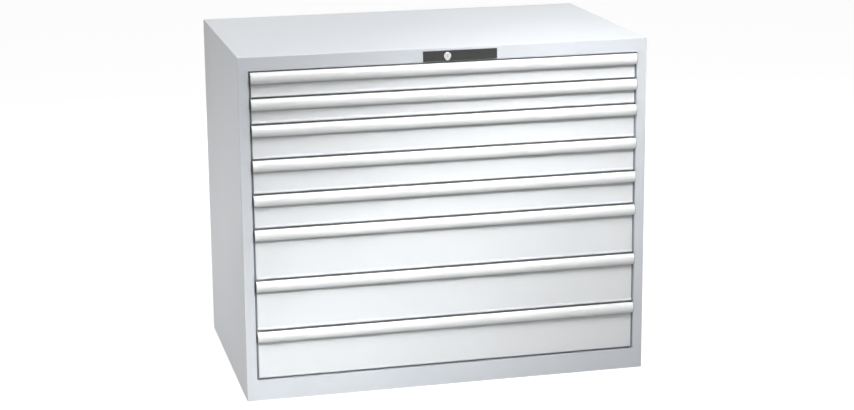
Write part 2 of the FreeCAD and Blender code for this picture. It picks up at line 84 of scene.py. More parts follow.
def finishMaterial(tree, colour, roughness, bump=None, **shader):
    # the shader at the end of a material; colour and roughness are nodes or plain values
    values = {name.replace("_", " "): value for name, value in shader.items()}
    links = {}
    for name, value in (("Base Color", colour), ("Roughness", roughness), ("Normal", bump)):
        if isinstance(value, (tuple, bpy.types.Node)):
            links[name] = value
        elif value is not None:
            values[name] = value
    surface = addNode(tree, "ShaderNodeBsdfPrincipled", values, links)
    addNode(tree, "ShaderNodeOutputMaterial", links={"Surface": surface})


powderCoat = {
    "casing": "#E2E6EB",  # light grey with a trace of blue
    "fronts": "#F5F7F9",  # white
    "drawerBody": "#DDE0E3",
    "grain": 1.6 * mm,    # orange peel is finer, 0.5 mm; drawn this coarse so that it shows close up
    "grainDepth": 0.012 * mm,
    "grainStrength": 0.5,
    "roughness": 0.36,
    "roughSpread": (-0.025, 0.035),
    "cloudScale": 3.5,    # clouds about 0.3 m wide, in which tint and roughness drift
    "tintSpread": (0.985, 1.01),
}


def powderCoatedSteel(name, hexColour):
    # Sheet steel, powder coated and baked: an even semi-gloss skin with a faint orange peel,
    # so highlights have soft, slightly broken edges.
    material, tree = newMaterial(name)
    place = addNode(tree, "ShaderNodeTexCoord")
    peel = addNode(tree, "ShaderNodeTexNoise", {"Scale": 1 / powderCoat["grain"], "Detail": 2.0},
                   {"Vector": (place, "Object")})
    cloud = addNode(tree, "ShaderNodeTexNoise", {"Scale": powderCoat["cloudScale"], "Detail": 3.0},
                    {"Vector": (place, "Object")})
    low, high = powderCoat["tintSpread"]
    shade = addNode(tree, "ShaderNodeMapRange", {**noiseSpan, "To Min": low, "To Max": high},
                    {"Value": cloud})
    tint = addNode(tree, "ShaderNodeVectorMath", {0: linear(hexColour)[:3]}, operation="SCALE")
    tree.links.new(shade.outputs[0], tint.inputs["Scale"])
    low, high = (powderCoat["roughness"] + change for change in powderCoat["roughSpread"])
    rough = addNode(tree, "ShaderNodeMapRange", {**noiseSpan, "To Min": low, "To Max": high},
                    {"Value": cloud})
    bump = addNode(tree, "ShaderNodeBump",
                   {"Strength": powderCoat["grainStrength"], "Distance": powderCoat["grainDepth"]},
                   {"Height": peel})
    finishMaterial(tree, tint, rough, bump)
    return material


anodised = {
    "colour": "#F5F6F6",
    "lineGap": 0.35 * mm,  # extrusion lines lie closer, 0.1 mm; drawn wider so that they show
    "lineLength": 120 * mm,
    "lineDepth": 0.01 * mm,
    "lineStrength": 0.12,
    "roughness": 0.48,
    "roughSpread": (-0.02, 0.03),
    "metallic": 0.06,      # a thick matt oxide: hardly any of the metal's own mirror is left
}


def satinAnodisedAluminium(name):
    # Extruded aluminium, etched and anodised: a pale satin metal with faint lines along its length.
    material, tree = newMaterial(name)
    place = addNode(tree, "ShaderNodeTexCoord")
    stretch = (1 / anodised["lineLength"], 1 / anodised["lineGap"], 1 / anodised["lineGap"])
    along = addNode(tree, "ShaderNodeMapping", {"Scale": stretch}, {"Vector": (place, "Object")})
    lines = addNode(tree, "ShaderNodeTexNoise", {"Scale": 1.0, "Detail": 3.0}, {"Vector": along})
    low, high = (anodised["roughness"] + change for change in anodised["roughSpread"])
    rough = addNode(tree, "ShaderNodeMapRange", {**noiseSpan, "To Min": low, "To Max": high},
                    {"Value": lines})
    bump = addNode(tree, "ShaderNodeBump",
                   {"Strength": anodised["lineStrength"], "Distance": anodised["lineDepth"]},
                   {"Height": lines})
    finishMaterial(tree, linear(anodised["colour"]), rough, bump, Metallic=anodised["metallic"])
    return material


moulded = {
    # colour and roughness of each
    "caps": ("#424241", 0.55),
    "lockPlate": ("#323231", 0.55),
    # painted shade: dark strip for the shade in the gap over each grip
    "paintedShadeLip": ("#3C3C3B", 0.6),
    # painted shade: grey strip for the shade in the gaps beside the fronts
    "paintedShadeStrip": ("#868C92", 0.65),
    "roughSpread": (-0.05, 0.05),
    "grain": 0.8 * mm,
    "grainDepth": 0.03 * mm,
    "grainStrength": 0.4,
}


def mouldedPlastic(name, hexColour, roughness):
    # Moulded plastic with a fine grain: dull, slightly speckled; also used for the dark and grey strips of
    # painted shade in the gaps over the grips and beside the fronts.
    material, tree = newMaterial(name)
    place = addNode(tree, "ShaderNodeTexCoord")
    speck = addNode(tree, "ShaderNodeTexNoise", {"Scale": 1 / moulded["grain"], "Detail": 2.0},
                    {"Vector": (place, "Object")})
    low, high = (roughness + change for change in moulded["roughSpread"])
    rough = addNode(tree, "ShaderNodeMapRange", {**noiseSpan, "To Min": low, "To Max": high},
                    {"Value": speck})
    bump = addNode(tree, "ShaderNodeBump",
                   {"Strength": moulded["grainStrength"], "Distance": moulded["grainDepth"]},
                   {"Height": speck})
    finishMaterial(tree, linear(hexColour), rough, bump)
    return material


zinc = {
    "colour": "#C4C8CC",
    "crystal": 6 * mm,
    "tintSpread": (0.92, 1.05),
    "roughness": (0.30, 0.42),
}


def zincPlatedSteel(name):
    # Rolled steel, bright zinc plated: cool grey metal with a faint crystal pattern.
    material, tree = newMaterial(name)
    place = addNode(tree, "ShaderNodeTexCoord")
    crystals = addNode(tree, "ShaderNodeTexVoronoi", {"Scale": 1 / zinc["crystal"]},
                       {"Vector": (place, "Object")})
    low, high = zinc["tintSpread"]
    shade = addNode(tree, "ShaderNodeMapRange", {"To Min": low, "To Max": high},
                    {"Value": (crystals, "Color")})
    tint = addNode(tree, "ShaderNodeVectorMath", {0: linear(zinc["colour"])[:3]}, operation="SCALE")
    tree.links.new(shade.outputs[0], tint.inputs["Scale"])
    low, high = zinc["roughness"]
    rough = addNode(tree, "ShaderNodeMapRange", {"To Min": low, "To Max": high},
                    {"Value": (crystals, "Color")})
    finishMaterial(tree, tint, rough, Metallic=1.0)
    return material


chrome = {
    "colour": "#E2E3E4",
    "grain": 0.4 * mm,
    "roughness": (0.20, 0.32),
}


def satinChrome(name):
    # Die-cast zinc, satin nickel-chrome plated: bright, with slightly soft, finely uneven reflections.
    material, tree = newMaterial(name)
    place = addNode(tree, "ShaderNodeTexCoord")
    fine = addNode(tree, "ShaderNodeTexNoise", {"Scale": 1 / chrome["grain"], "Detail": 2.0},
                   {"Vector": (place, "Object")})
    low, high = chrome["roughness"]
    rough = addNode(tree, "ShaderNodeMapRange", {"To Min": low, "To Max": high}, {"Value": fine})
    finishMaterial(tree, linear(chrome["colour"]), rough, Metallic=1.0)
    return material


finishes = {
    "casing_paint": powderCoatedSteel("powderCoatedSteelCasing", powderCoat["casing"]),
    "inner_paint": powderCoatedSteel("powderCoatedSteelInside", powderCoat["casing"]),
    "front_paint": powderCoatedSteel("powderCoatedSteelFronts", powderCoat["fronts"]),
    "drawer_paint": powderCoatedSteel("powderCoatedSteelDrawers", powderCoat["drawerBody"]),
    "grip_aluminium": satinAnodisedAluminium("satinAnodisedAluminium"),
    "cap_plastic": mouldedPlastic("mouldedPlasticCaps", *moulded["caps"]),
    "lock_plate": mouldedPlastic("mouldedPlasticLockPlate", *moulded["lockPlate"]),
    # painted shade: the dark strip over each grip
    "painted_shade_lip_finish": mouldedPlastic("paintedShadeLipMaterial", *moulded["paintedShadeLip"]),
    # painted shade: the grey strips beside the fronts
    "painted_shade_strip_finish": mouldedPlastic("paintedShadeStripMaterial", *moulded["paintedShadeStrip"]),
    "rail_zinc": zincPlatedSteel("zincPlatedSteel"),
    "lock_chrome": satinChrome("satinChrome"),
}
slotOf = {part["node"]: part["material_slot"] for part in frame["record"]["subparts"]}
for nodeName, cadObject in frame["nodes"].items():
    for materialSlot in cadObject.material_slots:
        materialSlot.material = finishes[slotOf[nodeName]]
print("finishes set on", len(slotOf), "nodes")


def meshObject(name, bm, finish, sharpAngle=30):
    # a finished mesh at the origin, with its faces outward, smooth where they meet at less than the angle
    bmesh.ops.recalc_face_normals(bm, faces=bm.faces)
    mesh = bpy.data.meshes.new(name)
    bm.to_mesh(mesh)
    bm.free()
    mesh.materials.append(finishes[finish])
    smoothByAngle(mesh, sharpAngle)
    piece = bpy.data.objects.new(name, mesh)
    bpy.context.scene.collection.objects.link(piece)
    return piece


def newTree(name, **sizes):
    # a Geometry Nodes tree with a geometry input, one named input for each size, and a geometry output
    tree = bpy.data.node_groups.new(name, "GeometryNodeTree")
    tree.interface.new_socket("Geometry", in_out="INPUT", socket_type="NodeSocketGeometry")
    for size, kind in sizes.items():
        tree.interface.new_socket(size, in_out="INPUT", socket_type="NodeSocket" + kind)
    tree.interface.new_socket("Geometry", in_out="OUTPUT", socket_type="NodeSocketGeometry")
    return tree, addNode(tree, "NodeGroupInput")


def closeTree(tree, geometry, given):
    # the end of each tree: real faces with their finish
    real = addNode(tree, "GeometryNodeRealizeInstances", {}, {"Geometry": geometry})
    painted = addNode(tree, "GeometryNodeSetMaterial", {}, {"Geometry": real, "Material": (given, "Finish")})
    addNode(tree, "NodeGroupOutput", links={"Geometry": painted})


def grown(tree, bm, sizes, thickness=None):
    # the mesh that a tree makes from a start mesh, as bmesh; a sheet gets its thickness here
    mesh = bpy.data.meshes.new("start")
    bm.to_mesh(mesh)
    bm.free()
    if "facing" in sizes:
        facing = mesh.attributes.new("facing", "FLOAT_VECTOR", "POINT")
        facing.data.foreach_set("vector", [value for vector in sizes.pop("facing") for value in vector])
    holder = bpy.data.objects.new("grown", mesh)
    bpy.context.scene.collection.objects.link(holder)
    nodes = holder.modifiers.new("nodes", "NODES")
    nodes.node_group = tree
    for item in tree.interface.items_tree:
        if item.in_out == "INPUT" and item.name in sizes:
            nodes[item.identifier] = sizes[item.name]
    if thickness:
        sheet = holder.modifiers.new("sheet", "SOLIDIFY")
        sheet.thickness, sheet.offset, sheet.use_even_offset = thickness, 1, True
    result = bpy.data.meshes.new_from_object(holder.evaluated_get(bpy.context.evaluated_depsgraph_get()))
    out = bmesh.new()
    out.from_mesh(result)
    bpy.data.objects.remove(holder)
    bpy.data.meshes.remove(result)
    bpy.data.meshes.remove(mesh)
    return out


def joined(parts):
    # several bmeshes as one
    whole = bmesh.new()
    for part in parts:
        mesh = bpy.data.meshes.new("part")
        part.to_mesh(mesh)
        part.free()
        whole.from_mesh(mesh)
        bpy.data.meshes.remove(mesh)
    return whole


def smoothByAngle(mesh, degrees):
    # smooth shading with hard edges where faces meet at more than the angle
    mesh.shade_smooth()
    mesh.set_sharp_from_angle(angle=math.radians(degrees))


grip = {
    "proud": 15.47,       # a hair inside the CAD rail, whose curve is cut into flats
    "radius": 19.9,       # outside of the curved face
    "crownDrop": 16.7,
    "lipDrop": 31.0,
    "wall": 2.2,
    "ledgeBack": 1.5,     # front of the ledge over the front panel, behind the casing's face
    "notchBack": 5.5,     # the ends are cut away behind this, beside the front panel
    "arcSteps": 28,
    "lipSteps": 6,
}


def gripOutline(back):
    # The section as (y, z), from the rail's top and the casing's front: down the curved face, round
    # the lip and up inside. Then the ledge and the back, or in the notched ends a plain edge.
    middleY = grip["radius"] - grip["proud"]
    fall = math.asin((grip["lipDrop"] - grip["crownDrop"]) / grip["radius"])

    def arc(inset, fromTop):
        radius = grip["radius"] - inset
        start = math.asin((grip["crownDrop"] - inset) / radius)
        turns = [start + (-fall - start) * i / grip["arcSteps"] for i in range(grip["arcSteps"] + 1)]
        run = [(middleY - radius * math.cos(a), -grip["crownDrop"] + radius * math.sin(a)) for a in turns]
        return run if fromTop else run[::-1]

    outer = arc(0, True)
    inner = arc(grip["wall"], False)
    middle = [(a + b) / 2 for a, b in zip(outer[-1], inner[0])]
    lip = []
    for i in range(1, grip["lipSteps"]):
        turn = math.pi * i / grip["lipSteps"]
        out = [(a - m) for a, m in zip(outer[-1], middle)]
        on = (-out[1], out[0])  # square to the wall, towards the free end
        lip.append((middle[0] + out[0] * math.cos(turn) + on[0] * math.sin(turn),
                    middle[1] + out[1] * math.cos(turn) + on[1] * math.sin(turn)))
    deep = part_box("drawer_1_tray")[0][1] / mm - casingFront
    foot = (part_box("drawer_1_grip")[0][2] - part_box("drawer_1_grip")[1][2]) / mm
    front = outer + lip + inner
    wall = grip["wall"]
    if back:
        return front + [(deep - wall, -wall), (deep - wall, foot + wall), (grip["ledgeBack"], foot + wall),
                        (grip["ledgeBack"], foot), (deep, foot), (deep, 0)]
    notch = grip["notchBack"]
    return front + [(notch, -wall), (notch, 0)]


def extrusionTree():
    # a bar of constant section, drawn from a flat face along x
    tree, given = newTree("extrusion", Length="Float", Finish="Material")
    along = addNode(tree, "ShaderNodeCombineXYZ", {}, {"X": (given, "Length")})
    drawn = addNode(tree, "GeometryNodeExtrudeMesh", {"Offset Scale": 1.0, "Individual": False},
                    {"Mesh": (given, "Geometry"), "Offset": along}, mode="FACES")
    start = addNode(tree, "GeometryNodeFlipFaces", {}, {"Mesh": (given, "Geometry")})
    both = addNode(tree, "GeometryNodeJoinGeometry", {}, {"Geometry": drawn})
    tree.links.new(start.outputs[0], both.inputs["Geometry"])
    closed = addNode(tree, "GeometryNodeMergeByDistance", {"Distance": weldGap}, {"Geometry": both})
    closeTree(tree, closed, given)
    return tree


def makeGrips():
    # each grip rail, with its ends notched to clear the posts' rebate strips
    tree = extrusionTree()
    for number in range(1, drawerCount + 1):
        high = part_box(f"drawer_{number}_grip")[1]
        top, end = high[2] / mm, high[0] / mm
        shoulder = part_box(f"drawer_{number}_front")[1][0] / mm
        bars = []
        for notched, first, last in ((False, -shoulder, shoulder), (True, -end, -shoulder),
                                     (True, shoulder, end)):
            bm = bmesh.new()
            bm.faces.new([bm.verts.new((first * mm, (casingFront + y) * mm, (top + z) * mm))
                          for y, z in gripOutline(not notched)])
            sizes = {"Length": (last - first) * mm, "Finish": finishes["grip_aluminium"]}
            bars.append(grown(tree, bm, sizes))
        piece = meshObject(f"gripRail{number}", joined(bars), "grip_aluminium")
        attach(piece, f"drawer_{number}")
        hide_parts(f"drawer_{number}_grip")
    print("grip rails made")


makeGrips()

paintedShadeParts = {
    # painted shade: a dark strip on each grip's flat top, standing for the shade in the gap above it; (y, z)
    # from the rail's top
    "paintedShadeLip": [(-5.2, 0), (-5.2, 0.6), (-4.8, 1.0), (-1.0, 1.2), (1.0, 1.0), (1.0, 0)],
    # painted shade: a grey strip on each post's rebate, beside the fronts, standing for the shade in the side
    # gap; (y, x) from the middle of the rebate's face
    "paintedShadeStrip": [(0, -2.5), (-0.3, -2.5), (-0.4, -1.6), (-0.4, 1.6), (-0.3, 2.5), (0, 2.5)],
    "rebateDepth": 6.75,    # the rebate's face, behind the posts' front faces
    "rebateMiddle": 563.8,  # from the cabinet's middle
    "endRoom": 1.0,
}


def makePaintedShadeParts():
    # painted shade: a thin dark strip over each grip and a grey strip down both sides of the fronts, which
    # stand for the shade in those gaps
    tree = extrusionTree()
    for number in range(1, drawerCount + 1):
        low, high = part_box(f"drawer_{number}_grip")
        bm = bmesh.new()
        bm.faces.new([bm.verts.new((low[0], (casingFront + y) * mm, high[2] + z * mm))
                      for y, z in paintedShadeParts["paintedShadeLip"]])
        lip = grown(tree, bm, {"Length": high[0] - low[0], "Finish": finishes["painted_shade_lip_finish"]})
        piece = meshObject(f"paintedShadeLip{number}", lip, "painted_shade_lip_finish")
        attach(piece, f"drawer_{number}")
    low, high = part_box("left_side_panel")
    strips = []
    for side in (-1, 1):
        bm = bmesh.new()
        foot = low[2] + paintedShadeParts["endRoom"] * mm
        bm.faces.new([bm.verts.new((foot, (casingFront + paintedShadeParts["rebateDepth"] + y) * mm,
                                    (side * paintedShadeParts["rebateMiddle"] + x) * mm)) for y, x in paintedShadeParts["paintedShadeStrip"]])
        strip = grown(tree, bm, {"Length": high[2] - low[2] - 2 * paintedShadeParts["endRoom"] * mm,
                                 "Finish": finishes["painted_shade_strip_finish"]})
        for v in strip.verts:  # drawn along x, and stood up here
            v.co = Vector((v.co.z, v.co.y, v.co.x))
        strips.append(strip)
    piece = meshObject("paintedShadeStrips", joined(strips), "painted_shade_strip_finish")
    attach(piece, "casing")
    print("seals made")


makePaintedShadeParts()

tray = {
    "sheet": 1.0,
    "bend": 2.0,         # outside radius of the folds
    "rim": 6.0,          # turned outwards along the side walls
    "grid": 17.0,        # one partition slot for every unit of the grid
    "slotWidth": 3.0,
    "slotEdge": 12.0,    # from the floor and the rim to a slot's ends
    "flange": 12.0,      # foot of the front and rear walls, welded on the floor
    "bendSteps": 5,
    "rimBend": 0.6,      # inside radius under the rims
    "smooth": 40,        # faces that meet at less than this, in degrees, are shaded as one
}


def punchedSheetTree():
    # A folded sheet with a row of slots. The start mesh's points are the fold's section, in order;
    # each is repeated along y on line 0, the sheet's start, on both edges of every slot, and at the end.
    tree, given = newTree("punchedSheet", **{
        "Start": "Float", "End": "Float", "First Slot": "Float", "Slots": "Int", "Pitch": "Float",
        "Slot Width": "Float", "Slot Foot": "Float", "Slot Head": "Float", "Finish": "Material"})
    whole, real = "FunctionNodeIntegerMath", "ShaderNodeMath"
    points = addNode(tree, "GeometryNodeAttributeDomainSize", {}, {"Geometry": (given, "Geometry")})
    lines = addNode(tree, whole, {1: 2, 2: 2}, {0: (given, "Slots")}, operation="MULTIPLY_ADD")
    net = addNode(tree, "GeometryNodeMeshGrid", {"Size X": 1.0, "Size Y": 1.0},
                  {"Vertices X": (points, "Point Count"), "Vertices Y": lines})
    index = addNode(tree, "GeometryNodeInputIndex")
    place = addNode(tree, "GeometryNodeInputPosition")

    number = addNode(tree, whole, {}, {0: index, 1: lines}, operation="DIVIDE_FLOOR")
    section = addNode(tree, "GeometryNodeSampleIndex", {},
                      {"Geometry": (given, "Geometry"), "Value": place, "Index": number},
                      data_type="FLOAT_VECTOR")
    across = addNode(tree, "ShaderNodeSeparateXYZ", {}, {"Vector": section})

    line = addNode(tree, whole, {}, {0: index, 1: lines}, operation="MODULO")
    last = addNode(tree, whole, {1: 1}, {0: lines}, operation="SUBTRACT")
    before = addNode(tree, whole, {1: 1}, {0: line}, operation="SUBTRACT")
    slot = addNode(tree, whole, {1: 2}, {0: before}, operation="DIVIDE_FLOOR")
    farEdge = addNode(tree, whole, {1: 2}, {0: before}, operation="FLOORED_MODULO")
    near = addNode(tree, real, {}, {0: slot, 1: (given, "Pitch"), 2: (given, "First Slot")},
                   operation="MULTIPLY_ADD")
    edge = addNode(tree, real, {}, {0: farEdge, 1: (given, "Slot Width"), 2: near}, operation="MULTIPLY_ADD")
    atStart = addNode(tree, real, {1: 0.0, 2: 0.5}, {0: line}, operation="COMPARE")
    atEnd = addNode(tree, real, {2: 0.5}, {0: line, 1: last}, operation="COMPARE")
    started = addNode(tree, "ShaderNodeMapRange", {},
                      {"Value": atStart, "To Min": edge, "To Max": (given, "Start")})
    along = addNode(tree, "ShaderNodeMapRange", {},
                    {"Value": atEnd, "To Min": started, "To Max": (given, "End")})
    folded = addNode(tree, "ShaderNodeCombineXYZ", {}, {"X": (across, "X"), "Y": along, "Z": (across, "Z")})
    placed = addNode(tree, "GeometryNodeSetPosition", {}, {"Geometry": net, "Position": folded})

    # every second face of a row lies in a slot, and is cut away from the slot's foot to its head
    cell = addNode(tree, whole, {}, {0: index, 1: last}, operation="MODULO")
    inSlot = addNode(tree, whole, {1: 2}, {0: cell}, operation="MODULO")
    height = addNode(tree, "ShaderNodeSeparateXYZ", {}, {"Vector": place})
    above = addNode(tree, real, {}, {0: (height, "Z"), 1: (given, "Slot Foot")}, operation="GREATER_THAN")
    below = addNode(tree, real, {}, {0: (height, "Z"), 1: (given, "Slot Head")}, operation="LESS_THAN")
    inside = addNode(tree, real, {}, {0: above, 1: below}, operation="MULTIPLY")
    cut = addNode(tree, real, {}, {0: inside, 1: inSlot}, operation="MULTIPLY")
    punchedNet = addNode(tree, "GeometryNodeDeleteGeometry", {}, {"Geometry": placed, "Selection": cut},
                         domain="FACE")
    closeTree(tree, punchedNet, given)
    return tree


def fold(cx, cz, radius, start, end):
    # points round a fold, between two angles in degrees
    steps = tray["bendSteps"]
    turns = [math.radians(start + (end - start) * i / steps) for i in range(steps + 1)]
    return [(cx + radius * math.cos(a), cz + radius * math.sin(a)) for a in turns]


def punched(tree, section, run, slots, heights, swap=False):
    # one punched sheet; swap turns it so that it runs along x
    bm = bmesh.new()
    for p, z in section:
        bm.verts.new((p * mm, 0, z * mm))
    first, count, edge = (slots[0] - tray["slotWidth"] / 2) * mm, slots[1], tray["slotEdge"]
    out = grown(tree, bm, {
        "Start": run[0] * mm, "End": run[1] * mm, "First Slot": first, "Slots": count,
        "Pitch": tray["grid"] * mm, "Slot Width": tray["slotWidth"] * mm,
        "Slot Foot": (heights[0] + edge) * mm, "Slot Head": (heights[1] - edge) * mm,
        "Finish": finishes["drawer_paint"]}, tray["sheet"] * mm)
    if swap:
        for v in out.verts:
            v.co = Vector((v.co.y, v.co.x, v.co.z))
    return out


def makeTrays():
    # each drawer's body: floor and side walls folded from one sheet, front and rear walls welded in
    tree = punchedSheetTree()
    sheet, bend, rim, edge, grid = (tray[k] for k in ("sheet", "bend", "rim", "slotEdge", "grid"))
    rimBend = tray["rimBend"]
    for number in range(1, drawerCount + 1):
        low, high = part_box(f"drawer_{number}_tray")
        foot, head, front, rear = (v / mm for v in (low[2], high[2], low[1], high[1]))
        half = high[0] / mm - rim
        floor, rimFoot = foot + sheet, head - sheet
        # the right wall's section, from its rim to the floor; the left one is its mirror image
        side = ([(half + rim, rimFoot)] + fold(half + rimBend, rimFoot - rimBend, rimBend, 90, 180)
                + [(half, head - edge), (half, floor + edge)] + fold(half - bend, foot + bend, bend, 0, -90))
        sheets = [punched(tree, [(-x, z) for x, z in side] + side[::-1], (front, rear),
                          (front + sheet + grid, int((rear - front) / grid) - 1), (floor, head))]
        inside = half - sheet
        for outer, way in ((front, 1), (rear, -1)):
            # an end wall's section, from its flange on the floor to its head
            wall = ([(outer + way * (sheet + tray["flange"]), floor)]
                    + [(outer + way * (bend - y), z) for y, z in fold(0, floor + bend, bend, -90, 0)]
                    + [(outer, floor + edge), (outer, head - edge), (outer, head)])
            sheets.append(punched(tree, wall[::-way], (-inside, inside),
                                  (-inside + grid, round(2 * inside / grid) - 1), (floor, head), swap=True))
        piece = meshObject(f"slottedTray{number}", joined(sheets), "drawer_paint", tray["smooth"])
        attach(piece, f"drawer_{number}")
        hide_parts(f"drawer_{number}_tray")
    print("trays made")


makeTrays()

rivet = {
    "radius": 4.2,
    "height": 1.3,
    "eye": 1.1,          # the small hole that a blind rivet's pin leaves
    "eyeDepth": 0.55,    # as a share of the head's height
    "segments": 20,
    "rings": 12,
    "weldGap": 0.01,     # the ball's lower half folds flat, and points closer than this become one
    "smooth": 40,
    "columnRise": 7.5,   # below the head of each drawer's space, between two slots of the column
    "trayPlaces": (2, 12, 23, 33),  # between these slots of the tray's side walls and the next
    "railRise": 21.0,    # above the tray's underside, on the middle of its rail
    "columnWidth": 40.0,
    "trayHeadRoom": 6.5,  # from a tray's rim to the head of the drawer's space
}


def rivetTree():
    # blind rivet heads on the points of the start mesh, each turned to its point's "facing"
    tree, given = newTree("rivetHeads", Radius="Float", Height="Float", Eye="Float", Finish="Material")
    ball = addNode(tree, "GeometryNodeMeshUVSphere",
                   {"Segments": rivet["segments"], "Rings": rivet["rings"], "Radius": 1.0})
    place = addNode(tree, "GeometryNodeInputPosition")
    parts = addNode(tree, "ShaderNodeSeparateXYZ", {}, {"Vector": place})
    share = addNode(tree, "ShaderNodeMath", {}, {0: (given, "Eye"), 1: (given, "Radius")}, operation="DIVIDE")
    flat = addNode(tree, "ShaderNodeCombineXYZ", {}, {"X": (parts, "X"), "Y": (parts, "Y")})
    out = addNode(tree, "ShaderNodeVectorMath", {}, {0: flat}, operation="LENGTH")
    inEye = addNode(tree, "ShaderNodeMath", {}, {0: (out, "Value"), 1: share}, operation="LESS_THAN")
    dome = addNode(tree, "ShaderNodeMath", {1: 0.0}, {0: (parts, "Z")}, operation="MAXIMUM")
    sunk = addNode(tree, "ShaderNodeMath", {1: -rivet["eyeDepth"]}, {0: inEye, 2: dome},
                   operation="MULTIPLY_ADD")
    kept = addNode(tree, "ShaderNodeMath", {1: 0.0}, {0: sunk}, operation="MAXIMUM")
    shape = addNode(tree, "ShaderNodeCombineXYZ", {}, {"X": (parts, "X"), "Y": (parts, "Y"), "Z": kept})
    scale = addNode(tree, "ShaderNodeCombineXYZ", {},
                    {"X": (given, "Radius"), "Y": (given, "Radius"), "Z": (given, "Height")})
    sized = addNode(tree, "ShaderNodeVectorMath", {}, {0: shape, 1: scale}, operation="MULTIPLY")
    headShape = addNode(tree, "GeometryNodeSetPosition", {}, {"Geometry": ball, "Position": sized})
    merged = addNode(tree, "GeometryNodeMergeByDistance", {"Distance": rivet["weldGap"] * mm},
                     {"Geometry": headShape})
    facing = addNode(tree, "GeometryNodeInputNamedAttribute", {"Name": "facing"}, data_type="FLOAT_VECTOR")
    turn = addNode(tree, "FunctionNodeAlignRotationToVector", {}, {"Vector": facing}, axis="Z")
    heads = addNode(tree, "GeometryNodeInstanceOnPoints", {},
                    {"Points": (given, "Geometry"), "Instance": merged, "Rotation": turn})
    closeTree(tree, heads, given)
    return tree


def rivets(tree, name, places, body):
    # one piece of rivet heads on a body, each given by its place and the way it faces
    bm = bmesh.new()
    for place, facing in places:
        bm.verts.new([p * mm for p in place])
    heads = grown(tree, bm, {"Radius": rivet["radius"] * mm, "Height": rivet["height"] * mm,
                             "Eye": rivet["eye"] * mm, "Finish": finishes["rail_zinc"],
                             "facing": [facing for place, facing in places]})
    piece = meshObject(name, heads, "rail_zinc", rivet["smooth"])
    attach(piece, body)


def makeRivets():
    # rivets that hold the drawer rails on the trays, and the columns in the casing
    tree = rivetTree()
    columnPlaces = []
    low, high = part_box("upright_columns")
    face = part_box("cabinet_rails")[1][0] / mm
    inset = rivet["columnWidth"] / 2
    for number in range(1, drawerCount + 1):
        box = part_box(f"drawer_{number}_tray")
        foot, head, front = box[0][2] / mm, box[1][2] / mm, box[0][1] / mm
        wall = box[1][0] / mm - tray["rim"] - tray["sheet"]
        rows = [((side * wall, front + tray["sheet"] + tray["grid"] * (k + 0.5), foot + rivet["railRise"]),
                 (-side, 0, 0)) for side in (-1, 1) for k in rivet["trayPlaces"]]
        rivets(tree, f"railRivets{number}", rows, f"drawer_{number}")
        for side in (-1, 1):
            for y in (low[1] / mm + inset, high[1] / mm - inset):
                columnPlaces.append(((side * face, y, head + rivet["trayHeadRoom"] - rivet["columnRise"]),
                                     (-side, 0, 0)))
    rivets(tree, "columnRivets", columnPlaces, "casing")
    print("rivets made")


makeRivets()


softEdges = {
    # how far each piece's edges are broken
    "lock_plate": 0.4,
    "lock_cylinder": 0.5,
    "lock_core": 0.3,
    "end_caps": 0.25,
    # faces that meet at less than flat become one, and edges above sharp are broken, in degrees
    "flat": 0.5,
    "sharp": 35,
    "smooth": 50,
    "segments": 2,
}


def softened(nodeName, width, body):
    # a copy of a CAD node with its sharp edges broken, as a tool or a mould leaves them
    bm = bmesh.new()
    bm.from_mesh(frame["nodes"][nodeName].data)
    bmesh.ops.remove_doubles(bm, verts=bm.verts, dist=weldGap)
    bmesh.ops.dissolve_limit(bm, angle_limit=math.radians(softEdges["flat"]), verts=bm.verts, edges=bm.edges)
    sharp = [e for e in bm.edges if e.is_manifold and e.calc_face_angle() > math.radians(softEdges["sharp"])]
    bmesh.ops.bevel(bm, geom=sharp, offset=width * mm, segments=softEdges["segments"], profile=0.5,
                    affect="EDGES", clamp_overlap=True)
    piece = meshObject("soft_" + nodeName, bm, slotOf[nodeName], softEdges["smooth"])
    weighted = piece.modifiers.new("flatFaces", "WEIGHTED_NORMAL")
    weighted.keep_sharp = True
    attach(piece, body)
    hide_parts(nodeName)


softened("lock_plate", softEdges["lock_plate"], "casing")
softened("lock_cylinder", softEdges["lock_cylinder"], "casing")
softened("lock_core", softEdges["lock_core"], "lock_core")
for number in range(1, drawerCount + 1):
    softened(f"drawer_{number}_end_caps", softEdges["end_caps"], f"drawer_{number}")
print("lock and end caps softened")


studio = {
    "floor": "#A0A0A0",     # the floor's own grey, which keeps light from bouncing up under the grips
    "floorGlow": 0.85,      # only seen and mirrored: the floor looks white and keeps its shadow
    "floorSize": 30,
    "around": 0.32,         # light from all sides
    # the main soft box, high in front: its steep light draws the shadows under the grips
    "main": {"aim": (0, -0.1, 0.5), "height": 58, "bearing": 4, "distance": 5.0, "along": (1, 0, 0),
             "size": (2.0, 1.6), "beam": 180, "power": 121},
    # a long soft box, turned to lie along the front's diagonal, with a grid that narrows its beam
    "strip": {"aim": (-0.22, -0.36, 0.33), "height": 44, "bearing": 0, "distance": 3.6,
              "along": (1.1, 0, 1.0), "size": (2.2, 0.25), "beam": 21, "power": 3.1},
    # the same on the left side, falling towards the back
    "left": {"aim": (-0.6, 0, 0.47), "height": 8, "bearing": -88, "distance": 2.4, "along": (0, 0.83, -0.56),
             "size": (1.6, 0.2), "beam": 30, "power": 0.6},
    # wide and soft, from the right side and from behind
    "right": {"aim": (0, 0, 0.5), "height": 12, "bearing": 86, "distance": 3.2, "along": (0, 1, 0),
              "size": (2.0, 1.6), "beam": 180, "power": 18},
    "back": {"aim": (0, 0, 0.5), "height": 15, "bearing": 176, "distance": 4.0, "along": (1, 0, 0),
             "size": (2.0, 1.6), "beam": 180, "power": 40, "mirrored": False},
}


def seenDirectly(tree):
    # 1 for rays from the camera and for mirror and clear rays, 0 for rays that carry light
    path = addNode(tree, "ShaderNodeLightPath")
    first = addNode(tree, "ShaderNodeMath", {}, {0: (path, "Is Camera Ray"), 1: (path, "Is Glossy Ray")},
                    operation="MAXIMUM")
    return addNode(tree, "ShaderNodeMath", {}, {0: first, 1: (path, "Is Transmission Ray")},
                   operation="MAXIMUM")


